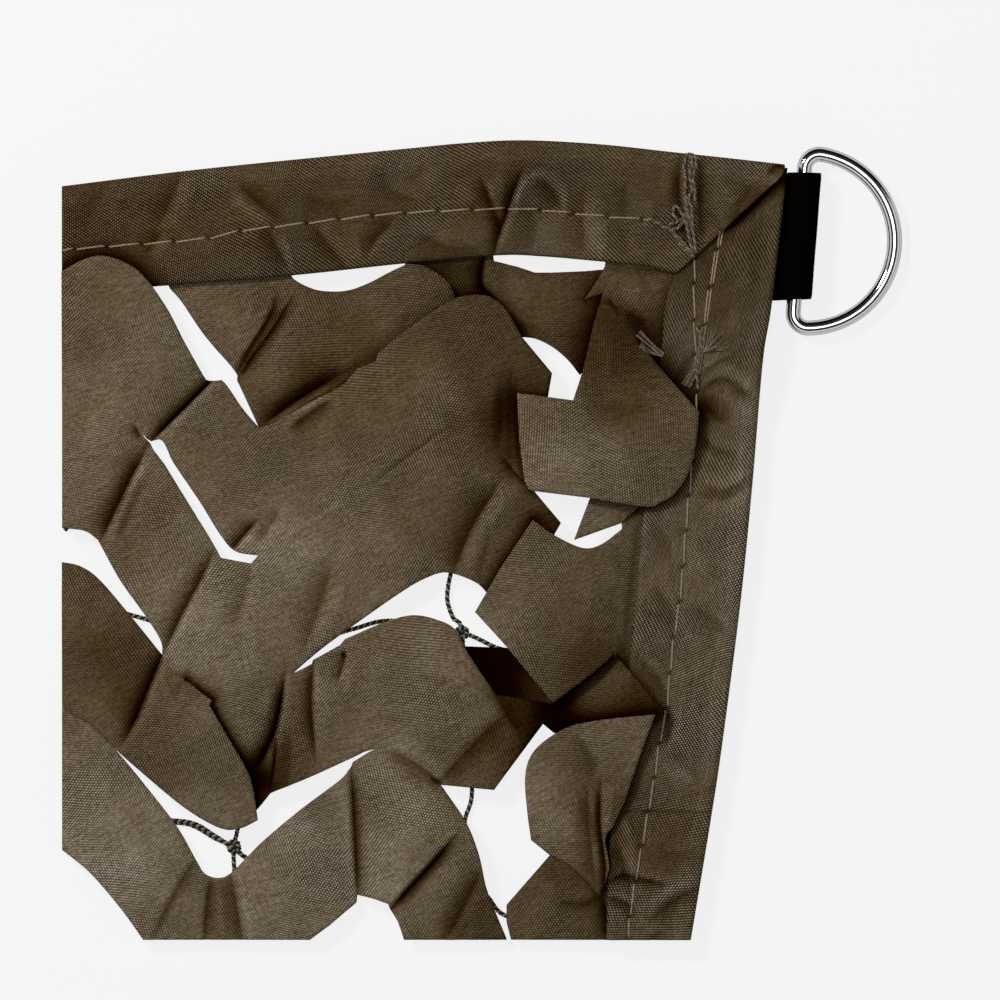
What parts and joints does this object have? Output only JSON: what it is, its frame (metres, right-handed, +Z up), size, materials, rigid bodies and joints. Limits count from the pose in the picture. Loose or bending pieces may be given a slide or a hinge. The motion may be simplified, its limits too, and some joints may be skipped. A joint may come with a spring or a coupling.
{
  "type": "shade cloth",
  "caption": "Corner of a leaf-cut camouflage shade cloth on a knotted cord net, with a folded tape edge and a metal D-ring on a webbing tab.",
  "frame": {"origin": "middle of the bounding box's footprint, on the surface that the cloth lies on", "axes": "+Z up out of the cloth's face, +X along the top edge from the cut side towards the D-ring, +Y from the lower cut side to the taped top edge"},
  "size_m": [0.1679, 0.1598, 0.0085],
  "materials": {
    "cloth": "matte woven polyester, dull olive brown",
    "tape": "matte woven polyester, folded and sewn",
    "cord": "twisted dark cord",
    "webbing": "ribbed black webbing",
    "ring": "polished steel wire"
  },
  "bodies": {
    "root": {"leaf_cloth": "cloth", "binding_top": "tape", "binding_side": "tape", "cord_net": "cord", "webbing_tab": "webbing", "d_ring": "ring"}
  },
  "joints": []
}
